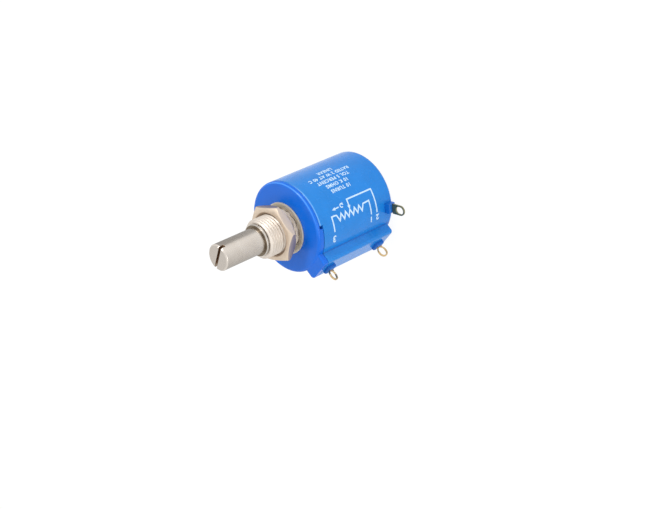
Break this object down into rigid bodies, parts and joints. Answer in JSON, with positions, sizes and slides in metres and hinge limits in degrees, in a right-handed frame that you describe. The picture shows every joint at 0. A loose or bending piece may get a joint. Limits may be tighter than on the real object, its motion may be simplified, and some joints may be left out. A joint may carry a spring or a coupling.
{
  "type": "multiturn potentiometer",
  "caption": "Panel-mount multiturn potentiometer: round blue moulded case with a saddle foot, threaded bushing with nut and toothed washer, slotted shaft, eyelet solder lugs.",
  "frame": {"origin": "on the shaft's axis in the plane of the lid's front face, where the panel seats", "axes": "+Z along the shaft towards its tip, -Y towards the saddle foot that carries the two end lugs"},
  "size_m": [0.0226, 0.0279, 0.0454],
  "materials": {
    "housing_blue": "moulded, satin gloss",
    "lid_blue": "moulded, satin gloss",
    "plated_brass": "nickel plated, satin",
    "washer_steel": "plated, satin",
    "shaft_steel": "turned",
    "ring_steel": "plain spring steel",
    "lug_gold": "gold flashed",
    "lug_dark": "tarnished gold flash",
    "contact_brass": "plain",
    "element_wire": "fine wire winding",
    "rotor_plastic": "moulded",
    "thrust_steel": "plain"
  },
  "bodies": {
    "case": {"housing": "housing_blue", "front_lid": "lid_blue", "bushing": "plated_brass", "lock_washer": "washer_steel", "mounting_nut": "plated_brass", "terminal_1": "lug_gold", "terminal_2": "lug_dark", "terminal_3": "lug_gold", "coil_clip_front": "contact_brass", "coil_clip_rear": "contact_brass", "resistance_coil": "element_wire", "collector_brush": "contact_brass"},
    "turning_shaft": {"shaft": "shaft_steel", "retaining_ring": "ring_steel", "thrust_washer": "thrust_steel", "rotor": "rotor_plastic", "collector_rail": "contact_brass", "slip_ring": "contact_brass"},
    "wiper": {"wiper_carriage": "rotor_plastic", "wiper_contact": "contact_brass"}
  },
  "joints": [
    {"name": "shaft_turn", "type": "hinge", "parent": "case", "child": "turning_shaft", "pos_m": [0, 0, 0], "axis": [0, 0, 1], "range_deg": [-1800, 1800]},
    {"name": "wiper_travel", "type": "slide", "parent": "turning_shaft", "child": "wiper", "axis": [0, 0, 1], "range_m": [-0.00745, 0.00745]}
  ],
  "couplings": [
    {"joint": "wiper_travel", "follows": "shaft_turn", "m_per_rad": -0.00023635}
  ]
}
